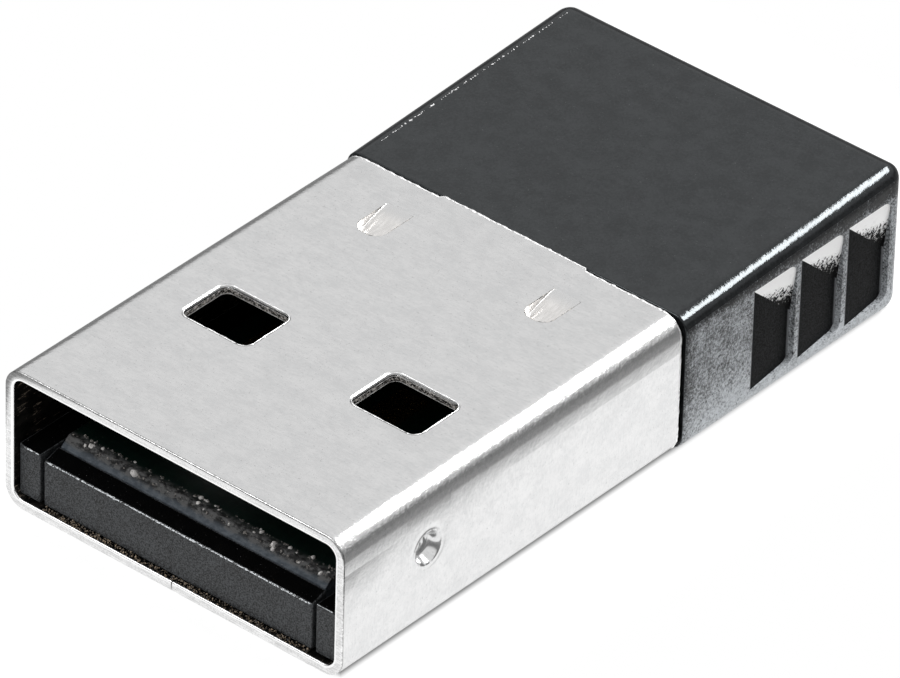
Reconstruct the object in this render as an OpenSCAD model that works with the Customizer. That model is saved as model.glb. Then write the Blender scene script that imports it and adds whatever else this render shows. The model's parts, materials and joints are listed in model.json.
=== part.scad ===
// USB wireless network adapter: a metal USB-A plug with a short plastic cap behind it.
// Millimetres. X runs across the plug, Y from the plug's mouth back to the cap, Z up.
// The origin is under the middle of the object, on the surface that it rests on.

/* [Plug shell] */
// Width of the metal shell
shell_w = 12; // [11.9:0.05:12.1]
// Height of the metal shell
shell_h = 4.5; // [4.4:0.05:4.6]
// Length of the metal shell along its sides
shell_len = 13.76; // [13.6:0.02:14.2]
// Thickness of the sheet that the shell is folded from
sheet_t = 0.3; // [0.28:0.01:0.32]
// Outside radius of the shell's long corners
shell_r = 0.65; // [0.5:0.05:0.8]
// Width of the joint where the sheet's two edges meet under the plug
seam_gap = 0.04; // [0.02:0.01:0.08]
// How far the middle of the top rear edge reaches past the sides
rear_step = 0.12; // [0.02:0.02:0.12]
// Width of that middle part of the top rear edge
rear_step_w = 5; // [3:0.5:7]

/* [Shell openings] */
// Width of each latch window
window_w = 2.59; // [2.3:0.01:2.8]
// Length of each latch window
window_len = 2.12; // [1.8:0.02:2.4]
// Distance of a window's middle from the plug's centre line
window_x = 2.995; // [2.9:0.005:3.1]
// Distance of the windows' front edge from the mouth
window_y = 4.82; // [4.4:0.02:5.2]
// Radius of the windows' corners
window_r = 0.4; // [0.2:0.05:0.6]
// Width of each pressed-in tab that holds the cap
tab_w = 0.95; // [0.8:0.05:1.1]
// Length of each pressed-in tab
tab_len = 1.5; // [1.2:0.05:1.6]
// Depth of a tab's free end below the sheet around it
tab_drop = 0.4; // [0.3:0.05:0.45]
// Diameter of the round dimple in each side of the shell
dimple_d = 1.06; // [0.9:0.02:1.2]

/* [Tongue] */
// Height of the tongue's contact surface above the shell's floor
tongue_h = 1.95; // [1.9:0.01:2]
// Width of the circuit board that forms the tongue
board_w = 9.4; // [9:0.1:9.6]
// Thickness of the circuit board
board_t = 0.8; // [0.6:0.1:0.8]
// Distance of the tongue's front face behind the mouth
tongue_y = 0.2; // [0.1:0.05:0.4]
// Width of each outer contact and each inner contact
contact_w = 1; // [0.9:0.05:1.2]

/* [Cap] */
// Width of the plastic cap
cap_w = 12.16; // [12.1:0.02:12.4]
// Length of the part of the cap that shows
cap_len = 9.38; // [9.2:0.02:10.4]
// Height of the cap where it meets the shell
cap_front_h = 4.44; // [4.4:0.02:4.6]
// Height of the cap at its rear
cap_rear_h = 4.89; // [4.7:0.01:5.2]
// Thickness of the cap's walls
cap_wall = 0.75; // [0.7:0.05:0.85]
// Number of grip notches in each side
notch_count = 3; // [1:1:3]
// Distance from one grip notch to the next
notch_pitch = 2.03; // [1.95:0.01:2.1]
// Depth of a grip notch at its rear end
notch_depth = 0.2; // [0.1:0.02:0.24]

/* [Hidden] */
$fn = 48;
eps = 0.01;
clear = 0.02;               // gap between pieces that sit against each other
fit_gap = 0.05;             // gap between the shell and the plastic inside it

cap_y = shell_len + rear_step + clear;          // front face of the cap
total_len = cap_y + cap_len;
shell_in_w = shell_w - 2 * sheet_t;
floor_z = sheet_t;
roof_z = shell_h - sheet_t;

tab_y = 11.08;              // free end of a pressed-in tab
tab_x = 2.98;               // middle of a tab
tab_slit = 0.04;            // cut along a tab's sides
dimple_y = 3.41;
dimple_z = 2.55;
dimple_depth = 0.24;
dimple_tip_d = 0.3;

board_top_z = floor_z + tongue_h;
board_z = board_top_z - board_t;
lip_len = 0.6;              // slope at the front of the tongue block, ahead of the board
board_y = tongue_y + lip_len;
board_bevel_y = 0.3;
board_bevel_z = 0.25;
board_len = 21.4;

lip_front_z = 1.82;         // the lip's front edge, where the slope up to the board starts
lip_rear_z = board_top_z - board_bevel_z;
block_w = 9.54;
block_len = 8.8;
under_z = floor_z + fit_gap;                    // underside of the plastic pieces on the shell's floor

rail_gap = 0.13;            // slot between the tongue block and a rail
rail_x = block_w / 2 + rail_gap;
rail_out_x = shell_in_w / 2 - fit_gap;
rail_z = 1.93;
rail_ridge_w = 0.14;        // ridge on a rail, against the shell's side
rail_ridge_z = 2.0;
rail_len = 10;
bar_len = 1.0;              // bar that joins the rails behind the tongue block

contact_t = 0.05;
contact_r = 0.15;
contact_rear_y = 8.7;
outer_contact_x = 3.5;
inner_contact_x = 1;
outer_contact_y = 2.3;
inner_contact_y = 3.3;

cap_top_r = 0.5;
cap_bottom_r = 0.6;
cap_plan_r = 0.55;
cap_slope = atan((cap_rear_h - cap_front_h) / cap_len);
cavity_z = 0.6;
cavity_top_z = 3.8;
spigot_len = 3.3;
spigot_w = shell_in_w - 2 * fit_gap;
spigot_h = roof_z - floor_z - 2 * fit_gap;
spigot_in_w = 10.1;
spigot_in_z = 0.85;
spigot_in_top_z = 3.65;
ledge_x = 4.35;             // inner face of the ledges that carry the board

notch_y = 16.72;            // front edge of the first notch
notch_len = 1.86;
notch_z = 0.67;
notch_top_z = 3.93;
notch_r = 0.32;             // rear corners of a notch
facet_h = 1.65;             // height of the facet at a notch's upper end

part_r = 0.12;              // vertical corners of the ceramic parts
chip_size = 5;
chip_t = 0.85;
chip_pad_t = 0.02;
chip_pos = [-1.4, 14.1];
crystal_size = [2.5, 2, 0.35];
crystal_lid_t = 0.2;
crystal_pos = [3.2, 13.1];
regulator_size = [1.6, 2.9, 0.95];
regulator_lift = 0.1;       // gap under the regulator's body, which stands on its leads
regulator_pos = [3, 19.3];
inductor_size = [2, 1.6, 1];
inductor_pos = [3.1, 16.2];
antenna_size = [3.2, 1.6, 1.1];
antenna_pos = [0, 21.1];
esd_size = [1.6, 1.2, 0.55];
esd_pos = [0, 9.9];
chip_0201 = [0.6, 0.3, 0.3];
chip_0402 = [1, 0.5, 0.5];
resistor_size = [1, 0.5, 0.35];
chip_0603 = [1.6, 0.8, 0.8];
chip_0805 = [2, 1.25, 0.85];
fillet_w = 0.15;            // length of a solder fillet beyond a part's end
fillet_rise = 0.6;          // its height as a share of the part's height
wide_joint_w = 1.2;         // solder joints of the inductor and the antenna
wide_joint_h = 0.65;

// Each part's place on the board: x, y and whether it lies along Y
bulk_places = [[-3.3, 19.6, true]];
bead_places = [[-3.4, 10, true]];
matching_places = [for (i = [0:2]) [0.5 * i - 0.5, 19.2 - 0.8 * abs(i - 1), true]];
decoupling_places = concat([for (i = [0:3]) [1.4 * i - 3.4, 11.9, true]],
                           [for (i = [0:2]) [1.6 * i - 1.6, 16.4, true]]);
resistor_places = [for (i = [0:3]) [1.2 * i - 1.8, 19.4, true]];

// ---- Helpers ----

// A rectangle with rounded corners, centred
module round_rect(size, r) {
    square([size.x - 2 * r, size.y], center = true);
    square([size.x, size.y - 2 * r], center = true);
    for (sx = [-1, 1], sy = [-1, 1])
        translate([sx * (size.x / 2 - r), sy * (size.y / 2 - r)])
            circle(r);
}

// Raises a flat outline drawn in X and Z along +Y
module along_y(from, length) {
    translate([0, from + length, 0])
        rotate([90, 0, 0])
            linear_extrude(length)
                children();
}

// Raises a flat outline drawn in Y and Z along X, centred on the plug
module across_x(width) {
    rotate([90, 0, 90])
        linear_extrude(width, center = true)
            children();
}

// A block given by its lowest corner and its highest corner
module block(low, high) {
    translate(low)
        cube(high - low);
}

// Both sides of the plug
module both_sides() {
    for (side = [0, 1])
        mirror([side, 0, 0])
            children();
}

// Moves a part from the plug's own frame, whose Y starts at the mouth, to the object's frame
module in_place() {
    translate([0, -total_len / 2, 0])
        children();
}

// Puts a flat-ended part on top of the board
module on_board(place, lift = 0) {
    translate([place.x, place.y, board_top_z + lift])
        children();
}

// Puts a flat-ended part under the board
module under_board(place) {
    translate([place.x, place.y, board_z])
        mirror([0, 0, 1])
            children();
}

// A part's body, centred on its place on the board
module chip_part(size, turned) {
    rotate(turned ? 90 : 0)
        translate([-size.x / 2, -size.y / 2, 0])
            cube(size);
}

// The two solder fillets at a chip part's ends
module chip_fillets(size, turned) {
    rise = size.z * fillet_rise;
    rotate(turned ? 90 : 0)
        for (end = [0, 1])
            mirror([end, 0, 0])
                translate([size.x / 2, size.y / 2, 0])
                    rotate([90, 0, 0])
                        linear_extrude(size.y)
                            polygon([[0, 0], [fillet_w, 0], [0, rise]]);
}

// ---- Plug shell ----

module shell_outline(inset) {
    translate([0, shell_h / 2])
        round_rect([shell_w - 2 * inset, shell_h - 2 * inset], shell_r - inset);
}

module window_holes() {
    for (side = [-1, 1])
        translate([side * window_x, window_y + window_len / 2, -eps])
            linear_extrude(shell_h + 2 * eps)
                round_rect([window_w, window_len], window_r);
}

module tab_holes() {
    for (side = [-1, 1])
        translate([side * tab_x, tab_y + tab_len / 2, shell_h / 2])
            linear_extrude(shell_h)
                square([tab_w + 2 * tab_slit, tab_len], center = true);
}

// The tab slopes down from its root at the rear to its free end at the front
module tabs() {
    root_y = tab_y + tab_len;
    free_y = tab_y + 2 * tab_slit;
    for (side = [-1, 1])
        translate([side * tab_x, 0, 0])
            across_x(tab_w)
                polygon([[root_y + eps, shell_h], [root_y + eps, roof_z],
                         [free_y, roof_z - tab_drop], [free_y, shell_h - tab_drop]]);
}

module dimple_cone(start_x, length, big_d, small_d) {
    translate([start_x, dimple_y, dimple_z])
        rotate([0, -90, 0])
            cylinder(h = length, d1 = big_d, d2 = small_d);
}

module plug_shell() {
    color("#D3D6D8")
    in_place() {
        difference() {
            union() {
                along_y(0, shell_len + rear_step)
                    shell_outline(0);
                both_sides()
                    dimple_cone(shell_w / 2 - sheet_t / 2, sheet_t / 2 + dimple_depth,
                                dimple_d, dimple_tip_d + sheet_t);
            }
            difference() {
                along_y(-eps, total_len)
                    shell_outline(sheet_t);
                both_sides()
                    dimple_cone(shell_w / 2 - sheet_t / 2, sheet_t / 2 + dimple_depth,
                                dimple_d, dimple_tip_d + sheet_t);
            }
            both_sides()
                dimple_cone(shell_w / 2 + eps, dimple_depth, dimple_d, dimple_tip_d);
            rear_trim();
            window_holes();
            tab_holes();
            block([-seam_gap / 2, -eps, -eps], [seam_gap / 2, total_len, shell_h / 2]);
        }
        tabs();
    }
}

// Takes the rear edge back everywhere but in the middle of the top
module rear_trim() {
    rear = shell_len + rear_step + eps;
    difference() {
        block([-shell_w, shell_len, -eps], [shell_w, rear, shell_h + eps]);
        block([-rear_step_w / 2, 0, roof_z - eps], [rear_step_w / 2, total_len, shell_h + 2 * eps]);
    }
}

// ---- Tongue and the frame beside it ----

module tongue_block() {
    top_z = board_z - clear;
    lip_y = board_y - clear;
    color("#3A3C3D")
    in_place()
        across_x(block_w)
            polygon([[tongue_y, under_z], [tongue_y + block_len, under_z], [tongue_y + block_len, top_z],
                     [lip_y, top_z], [lip_y, lip_rear_z], [tongue_y, lip_front_z]]);
}

module rail_frame() {
    bar_y = tongue_y + block_len + clear;
    color("#35373A")
    in_place() {
        both_sides() {
            along_y(tongue_y, rail_len)
                polygon([[rail_x, under_z], [rail_out_x, under_z], [rail_out_x, rail_ridge_z],
                         [rail_out_x - rail_ridge_w, rail_z], [rail_x, rail_z]]);
        }
        block([-rail_x - eps, bar_y, under_z], [rail_x + eps, bar_y + bar_len, board_z - clear]);
    }
}

module circuit_board() {
    color("#15402F")
    in_place()
        difference() {
            block([-board_w / 2, board_y, board_z], [board_w / 2, board_y + board_len, board_top_z]);
            across_x(board_w + 2 * eps)
                polygon([[board_y - eps, board_top_z - board_bevel_z - eps],
                         [board_y - eps, board_top_z + eps],
                         [board_y + board_bevel_y, board_top_z + eps],
                         [board_y + board_bevel_y, board_top_z],
                         [board_y, board_top_z - board_bevel_z]]);
        }
}

module contact(x, front_y) {
    color("#D4A94B")
    in_place()
        translate([x, (front_y + contact_rear_y) / 2, board_top_z])
            linear_extrude(contact_t)
                round_rect([contact_w, contact_rear_y - front_y], contact_r);
}

module contact_vbus() {
    contact(-outer_contact_x, outer_contact_y);
}

module contact_data_minus() {
    contact(-inner_contact_x, inner_contact_y);
}

module contact_data_plus() {
    contact(inner_contact_x, inner_contact_y);
}

module contact_ground() {
    contact(outer_contact_x, outer_contact_y);
}

// ---- Parts on the circuit board ----

module wlan_chip() {
    color("#202124")
    in_place()
        on_board(chip_pos, chip_pad_t)
            chip_part([chip_size, chip_size, chip_t], false);
}

// The flat leads along the chip's four edges, and the large pad in its middle
module wlan_chip_pads() {
    pads_per_side = 10;
    pad_pitch = 0.4;
    pad_len = 0.4;
    pad_w = 0.2;
    centre_pad = 3.2;
    color("#C9CBCC")
    in_place()
        on_board(chip_pos) {
            for (side = [0:3], i = [0:pads_per_side - 1])
                rotate(90 * side)
                    translate([(i - (pads_per_side - 1) / 2) * pad_pitch - pad_w / 2,
                               chip_size / 2 - pad_len, 0])
                        cube([pad_w, pad_len, chip_pad_t]);
            translate([-centre_pad / 2, -centre_pad / 2, 0])
                cube([centre_pad, centre_pad, chip_pad_t]);
        }
}

module crystal_base() {
    color("#8E8A80")
    in_place()
        on_board(crystal_pos)
            linear_extrude(crystal_size.z)
                round_rect([crystal_size.x, crystal_size.y], part_r);
}

module crystal_lid() {
    rim = 0.12;
    color("#C8CACC")
    in_place()
        on_board(crystal_pos, crystal_size.z)
            linear_extrude(crystal_lid_t)
                round_rect([crystal_size.x - 2 * rim, crystal_size.y - 2 * rim], part_r);
}

module voltage_regulator() {
    color("#232426")
    in_place()
        on_board(regulator_pos, regulator_lift)
            chip_part(regulator_size, false);
}

// Gull-wing leads: three on the side towards the middle, two on the other
module regulator_leads() {
    lead_pitch = 0.95;
    lead_w = 0.35;
    color("#C4C6C8")
    in_place()
        on_board(regulator_pos) {
            for (i = [-1:1])
                translate([-regulator_size.x / 2, i * lead_pitch, 0])
                    mirror([1, 0, 0])
                        gull_lead(lead_w);
            for (i = [-1, 1])
                translate([regulator_size.x / 2, i * lead_pitch, 0])
                    gull_lead(lead_w);
        }
}

module gull_lead(width) {
    lead_t = 0.12;
    foot = 0.55;
    knee = 0.2;
    knee_z = 0.5;
    translate([0, width / 2, 0])
        rotate([90, 0, 0])
            linear_extrude(width)
                polygon([[0, knee_z], [knee - lead_t, knee_z], [knee - lead_t, 0], [foot, 0],
                         [foot, lead_t], [knee, lead_t], [knee, knee_z + lead_t], [0, knee_z + lead_t]]);
}

module power_inductor() {
    color("#4A4B4D")
    in_place()
        on_board(inductor_pos)
            linear_extrude(inductor_size.z)
                round_rect([inductor_size.x, inductor_size.y], part_r);
}

module ferrite_bead() {
    color("#55504B")
    in_place()
        top_parts(bead_places, chip_0603);
}

module bulk_capacitor() {
    color("#B59A78")
    in_place()
        top_parts(bulk_places, chip_0805);
}

module antenna_matching_parts() {
    color("#D9D4C8")
    in_place()
        top_parts(matching_places, chip_0201);
}

module decoupling_capacitors() {
    color("#B99F7C")
    in_place()
        bottom_parts(decoupling_places, chip_0402);
}

module resistors() {
    color("#2B2C2E")
    in_place()
        bottom_parts(resistor_places, resistor_size);
}

module top_parts(places, size) {
    for (place = places)
        on_board(place)
            chip_part(size, place[2]);
}

module bottom_parts(places, size) {
    for (place = places)
        under_board(place)
            chip_part(size, place[2]);
}

module esd_protection() {
    color("#262729")
    in_place()
        on_board(esd_pos)
            chip_part(esd_size, false);
}

// Ceramic antenna at the rear end of the board, as far as possible from the metal shell
module chip_antenna() {
    color("#E8E3D6")
    in_place()
        on_board(antenna_pos)
            linear_extrude(antenna_size.z)
                round_rect([antenna_size.x, antenna_size.y], part_r);
}

module solder_joints() {
    color("#B8BBBE")
    in_place() {
        for (place = bulk_places)
            on_board(place)
                chip_fillets(chip_0805, place[2]);
        for (place = bead_places)
            on_board(place)
                chip_fillets(chip_0603, place[2]);
        on_board(inductor_pos)
            chip_fillets([inductor_size.x, wide_joint_w, wide_joint_h], false);
        on_board(antenna_pos)
            chip_fillets([antenna_size.x, wide_joint_w, wide_joint_h], false);
        for (place = decoupling_places)
            under_board(place)
                chip_fillets(chip_0402, place[2]);
        for (place = resistor_places)
            under_board(place)
                chip_fillets(resistor_size, place[2]);
    }
}

// ---- Cap ----

// The outline from above: square at the shell, rounded at the rear corners
module cap_plan() {
    translate([0, cap_y + cap_len / 2])
        round_rect([cap_w, cap_len], cap_plan_r);
    translate([-cap_w / 2, cap_y])
        square([cap_w, cap_len / 2]);
}

// The outline from the side: the top rises towards the rear
module cap_side() {
    rear_y = cap_y + cap_len;
    top_y = rear_y - cap_top_r;
    top_z = cap_rear_h - cap_top_r - cap_top_r * sin(cap_slope);
    polygon([[cap_y, 0], [rear_y - cap_bottom_r, 0], [rear_y - cap_bottom_r, cap_bottom_r],
             [rear_y, cap_bottom_r], [rear_y, top_z], [top_y, top_z],
             [top_y, top_z + cap_top_r], [cap_y, cap_front_h]]);
    translate([rear_y - cap_bottom_r, cap_bottom_r])
        circle(cap_bottom_r);
    translate([top_y, top_z])
        circle(cap_top_r);
}

// The outline from the front, with the lower corners rounded and the top left open
module cap_lower_section() {
    tall = 2 * cap_rear_h;
    translate([0, tall / 2])
        round_rect([cap_w, tall], cap_bottom_r);
}

// The outline square to the sloping top, with the upper corners rounded
module cap_upper_section() {
    tall = 2 * cap_rear_h;
    translate([0, -tall / 2])
        round_rect([cap_w, tall], cap_top_r);
}

module cap_body() {
    overrun = 1;
    intersection() {
        linear_extrude(2 * cap_rear_h)
            cap_plan();
        across_x(cap_w)
            cap_side();
        along_y(cap_y, cap_len)
            cap_lower_section();
        translate([0, cap_y, cap_front_h])
            rotate([cap_slope, 0, 0])
                along_y(-overrun, cap_len + 2 * overrun)
                    cap_upper_section();
    }
}

// A grip notch seen from the side, with its two rear corners rounded
module notch_outline() {
    height = notch_top_z - notch_z;
    square([notch_len / 2, height]);
    translate([notch_len / 2, height / 2])
        round_rect([notch_len, height], notch_r);
}

// One grip notch: its floor slopes in towards the rear, and a flat facet runs out at its upper end
module grip_notch(front_y) {
    rear_y = front_y + notch_len;
    side_x = cap_w / 2;
    floor_x = side_x - notch_depth;
    intersection() {
        translate([0, front_y, notch_z])
            rotate([90, 0, 90])
                linear_extrude(cap_w)
                    notch_outline();
        translate([0, 0, notch_z - eps])
            linear_extrude(cap_rear_h)
                polygon([[side_x, front_y], [cap_w, front_y],
                         [cap_w, rear_y + eps], [floor_x, rear_y + eps]]);
        along_y(front_y, notch_len + eps)
            polygon([[side_x, notch_top_z], [floor_x, notch_top_z - facet_h], [floor_x, notch_z - eps],
                     [cap_w, notch_z - eps], [cap_w, notch_top_z]]);
    }
}

module cap_cavity() {
    block([-cap_w / 2 + cap_wall, cap_y - eps, cavity_z],
          [cap_w / 2 - cap_wall, cap_y + cap_len - cap_wall, cavity_top_z]);
}

// Ledges under the board's edges, and keepers over them near the rear
module board_ledges() {
    front_room = 0.3;
    keeper_len = 2;
    wall_x = cap_w / 2 - cap_wall + eps;
    rear_y = cap_y + cap_len - cap_wall;
    both_sides() {
        block([ledge_x, cap_y + front_room, cavity_z - eps], [wall_x, rear_y + eps, board_z - clear]);
        block([ledge_x, rear_y - keeper_len, board_top_z + clear],
              [wall_x, rear_y + eps, cavity_top_z + eps]);
    }
}

// Sleeve that goes into the shell, with holes for the shell's pressed-in tabs
module cap_spigot() {
    tab_room = 0.12;
    difference() {
        along_y(cap_y - spigot_len, spigot_len + cap_wall)
            translate([0, shell_h / 2])
                round_rect([spigot_w, spigot_h], shell_r - sheet_t - fit_gap);
        block([-spigot_in_w / 2, cap_y - spigot_len - eps, spigot_in_z],
              [spigot_in_w / 2, cap_y + cap_wall + eps, spigot_in_top_z]);
        for (side = [-1, 1])
            translate([side * tab_x, 0, 0])
                block([-tab_w / 2 - tab_room, tab_y - tab_room, spigot_in_top_z - eps],
                      [tab_w / 2 + tab_room, tab_y + tab_len, shell_h]);
    }
}

module rear_cap() {
    color("#3F4143")
    in_place() {
        difference() {
            cap_body();
            difference() {
                cap_cavity();
                board_ledges();
            }
            both_sides()
                for (i = [0:notch_count - 1])
                    grip_notch(notch_y + i * notch_pitch);
        }
        cap_spigot();
    }
}

plug_shell();
tongue_block();
rail_frame();
circuit_board();
contact_vbus();
contact_data_minus();
contact_data_plus();
contact_ground();
wlan_chip();
wlan_chip_pads();
crystal_base();
crystal_lid();
voltage_regulator();
regulator_leads();
power_inductor();
ferrite_bead();
bulk_capacitor();
decoupling_capacitors();
resistors();
esd_protection();
antenna_matching_parts();
chip_antenna();
solder_joints();
rear_cap();
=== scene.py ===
import json
import math
import random

import bmesh
import bpy
from mathutils import Matrix, Vector, noise


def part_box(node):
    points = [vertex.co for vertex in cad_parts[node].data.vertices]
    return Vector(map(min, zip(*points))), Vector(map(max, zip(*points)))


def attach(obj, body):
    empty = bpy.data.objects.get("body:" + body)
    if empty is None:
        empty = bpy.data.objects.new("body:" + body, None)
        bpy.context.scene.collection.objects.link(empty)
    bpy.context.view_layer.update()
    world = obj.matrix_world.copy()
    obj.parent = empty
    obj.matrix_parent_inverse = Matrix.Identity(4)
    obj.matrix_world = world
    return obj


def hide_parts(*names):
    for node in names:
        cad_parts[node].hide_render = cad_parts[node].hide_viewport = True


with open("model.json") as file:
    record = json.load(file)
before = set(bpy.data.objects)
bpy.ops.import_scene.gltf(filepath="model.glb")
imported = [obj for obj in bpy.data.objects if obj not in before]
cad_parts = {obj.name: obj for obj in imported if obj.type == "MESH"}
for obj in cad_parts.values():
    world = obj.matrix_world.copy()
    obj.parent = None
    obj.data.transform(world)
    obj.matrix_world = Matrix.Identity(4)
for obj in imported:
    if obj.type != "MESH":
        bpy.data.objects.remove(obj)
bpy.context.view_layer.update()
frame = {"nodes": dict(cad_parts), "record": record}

# A short USB wireless adapter: a folded metal plug with a board tongue, and a dark plastic cap.
# Sizes are in millimetres. X runs across the plug, Y from its mouth back to the cap, Z up.

MM = 0.001
SLIVER = 0.0002  # points closer than this are one point
NEAR = 0.001  # a point this close to a face lies on it


def node_box(name):
    """A CAD node's lowest and highest corners, in millimetres."""
    low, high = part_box(name)
    return Vector(low) / MM, Vector(high) / MM


# ---- Sizes taken from the frame ----
SHELL_LOW, SHELL_HIGH = node_box("plug_shell")
CAP_LOW, CAP_HIGH = node_box("rear_cap")
BLOCK_LOW, BLOCK_HIGH = node_box("tongue_block")
BOARD_LOW, BOARD_HIGH = node_box("circuit_board")
MOUTH_Y = SHELL_LOW.y
SHELL_W = SHELL_HIGH.x - SHELL_LOW.x
SHELL_H = SHELL_HIGH.z - SHELL_LOW.z
SHELL_REAR_MIDDLE = SHELL_HIGH.y - MOUTH_Y
CAP_W = CAP_HIGH.x - CAP_LOW.x
CAP_REAR = CAP_HIGH.y - MOUTH_Y
CAP_REAR_H = CAP_HIGH.z

# ---- Plug shell ----
SHEET_T = 0.3
SHELL_R = 0.65
SEAM_GAP = 0.04
RIM_ROUND = 0.05  # rounding of the sheet's edge at the mouth
LIP_Y, LIP_FRONT_Z = 0.2, 1.82  # front edge of the slope ahead of the board
BEVEL_Y, BEVEL_Z = 0.3, 0.25  # slope at the board's front edge
RAIL_IN_X, RAIL_OUT_X, RAIL_Z = 4.9, 5.5, 1.93
REAR_STEP = 0.12  # how far the middle of the top rear edge reaches past the sides
REAR_STEP_HALF_W, REAR_STEP_RUN = 2.5, 0.1
WINDOW_X, WINDOW_Y = 2.995, 4.82
WINDOW_W, WINDOW_LEN, WINDOW_R = 2.59, 2.12, 0.4
WINDOW_ROLL = 0.12  # rounding that the punch leaves round a window
TAB_X, TAB_Y = 2.98, 11.08
TAB_W, TAB_LEN, TAB_R = 0.95, 1.5, 0.4
TAB_DROP = 0.33
TAB_STRAIGHT, TAB_CURVE = 0.12, 1.25  # share of the drop that is a straight slope, power of the rest
TAB_WALL = 0.1  # width of the steep wall round a tab, at its free end
TAB_ROOT_WALL = 0.12  # the same at its root, as a share of that
TAB_CREASE_X, TAB_CREASE_W = -0.33, 0.07  # a crushed crease along a tab, in tab widths
TAB_CREASE_DEPTH = 0.04
TAB_LINE_R = 0.011  # the torn line along a tab's cut edge, dark partly as painted shade in the cut
BURR_R, REAR_BURR_R = 0.018, 0.03  # the burrs round the windows and along the shell's rear edge
BURR_IN, BURR_DOWN = 0.72, 0.3  # a window burr's place on the rounding, as shares of it
DIMPLE_Y, DIMPLE_Z, DIMPLE_R, DIMPLE_DEPTH = 3.41, 2.55, 0.55, 0.30
DIMPLE_WALL = 0.48  # width of the dimple's steep wall, as a share of its radius
DIMPLE_RING_H = 0.014  # the raised ring round the dimple
DIMPLE_RING_AT, DIMPLE_RING_W, DIMPLE_REACH = 1.12, 0.14, 1.45  # its place, width and end, in radii
DIMPLE_MARK_PITCH, DIMPLE_MARK_DEPTH = 0.17, 0.014  # nearly upright tool marks in the upper half
DIMPLE_MARK_SLANT = 0.25
DIMPLE_MARK_START, DIMPLE_MARK_RISE = 0.3, 0.4  # their strength at mid height, and how it grows
DIMPLE_FIELD = 0.9  # half size of the finely meshed field round a dimple
DIMPLE_STEP = 0.03
SKIN, SHEARED, RIM, INSIDE = range(4)  # material slots of the shell

# ---- Cap ----
CAP_FRONT = SHELL_REAR_MIDDLE + 0.02
CAP_FRONT_H = 4.44
CAP_SLOPE = (CAP_REAR_H - CAP_FRONT_H) / (CAP_REAR - CAP_FRONT)  # how fast its top rises towards the rear
CAP_TOP_R, CAP_BOTTOM_R, CAP_PLAN_R = 0.5, 0.6, 0.55
CAP_LEAST_R = 0.04
CAP_FRONT_ROUND = 0.06
CAP_WALL = 0.75
CUT_PAST = 1.0  # how far the opening's cutter starts ahead of the cap
CAVITY_Z, CAVITY_TOP_Z, CAVITY_R = 0.6, 3.8, 0.2
SLEEVE_LEN, SLEEVE_GAP, SLEEVE_ROUND = 3.3, 0.05, 0.06
SLEEVE_IN_W, SLEEVE_IN_Z, SLEEVE_IN_TOP_Z = 10.1, 0.85, 3.65
NOTCH_Y, NOTCH_PITCH, NOTCH_LEN, NOTCH_COUNT = 16.72, 2.03, 1.86, 3
NOTCH_Z, NOTCH_TOP_Z, NOTCH_R = 0.67, 3.93, 0.32
NOTCH_DEPTH, FACET_H = 0.2, 1.65
NOTCH_ROUND = 0.05
FACET_HIGHLIGHT_SPAN = (-0.05, 0.78)  # distance below a facet's top where its painted highlight breaks up and ends
FACET_HIGHLIGHT_SLOPE = 0.26  # how fast that line sinks towards the back
SATIN, NOTCH, FACET, ERODED = range(4)  # material slots of the cap

# ---- Loose matter ----
BEAD_STEP, BEAD_SIDES = 0.036, 6  # spacing of a bead's rings, and points on each
BEAD_LEAST, BEAD_SWELL, BEAD_SWELL_BIAS = 0.6, 0.9, 0.25  # how its radius varies, in radii
BEAD_RISE = 0.3  # how far it wanders up and down, in radii
BEAD_SWELLS, BEAD_RISES = 7, 4  # how many of both there are in a millimetre
CRUMB_STRETCH = (0.6, 1.3)
CRUMB_BUMP, CRUMB_BUMPS = 0.35, 1.7  # height of a crumb's bumps and how many there are, in radii
LIP_FLASH = (LIP_Y + 0.02, LIP_FRONT_Z - 0.015)  # flash just inside an edge, as (y, z)
RAIL_FLASH = (LIP_Y + 0.015, RAIL_Z - 0.01)
LIP_FLASH_R, LEFT_FLASH_R, RIGHT_FLASH_R = 0.026, 0.02, 0.012

# ---- Camera and light ----
CAMERA_TURN = (39.815, 35.351, 1.593)  # azimuth, elevation and roll in degrees
CAMERA_DISTANCE = 298.992
CAMERA_TARGET = (0.0, -3.64, 2.25)
CAMERA_SLIDE = (2.1243, 1.4411)  # across and up in the picture
CAMERA_LENS, SENSOR = 445.02, 36.0
CAMERA_CLIP = (0.01, 5.0)  # metres
FLOOR_R, FLOOR_Z = 30.0, -0.01
FLOOR_GLOW = 0.86  # the table is lit from below as well
FLOOR_SIDE_FADE = (2.7, 3.9)  # distance from the part's sides where the lit sheet fades out
FLOOR_END_FADE = (6.0, 8.5)  # the same from its ends
# Brightness of the surroundings, from straight down to straight up.
DOME = ((0.0, 0.30), (0.40, 0.30), (0.52, 0.21), (0.62, 0.20), (0.72, 0.80), (0.85, 0.92), (1.0, 0.75))
LIGHT_DISTANCE = 150.0
# Direction, size, and power in watts, which is small because the object is small.
SOFTBOXES = {
    "key": ((0.24, 0.63, 0.74), (85.0, 30.0), 0.20),
    "front": ((-0.30, -0.62, 0.72), (76.0, 26.0), 0.055),
}

# ---- Noise ----
MIDDLE = (0.38, 0.62)  # where most values of a noise lie
SPAN = (0.3, 0.7)  # where nearly all of them lie
HIGH = (0.68, 0.76)  # few values reach this, and they lie in small spots
HIGHER = (0.72, 0.78)


# ---- Mesh helpers ----

def place(x, y, z):
    """A point given from the middle of the plug's mouth, in the frame's metres."""
    return Vector((x, MOUTH_Y + y, z)) * MM


def spaced(low, high, steps):
    return [low + (high - low) * i / steps for i in range(steps + 1)]


def quarter_turn(steps):
    return [math.radians(a) for a in spaced(0, 90, steps)]


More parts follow.
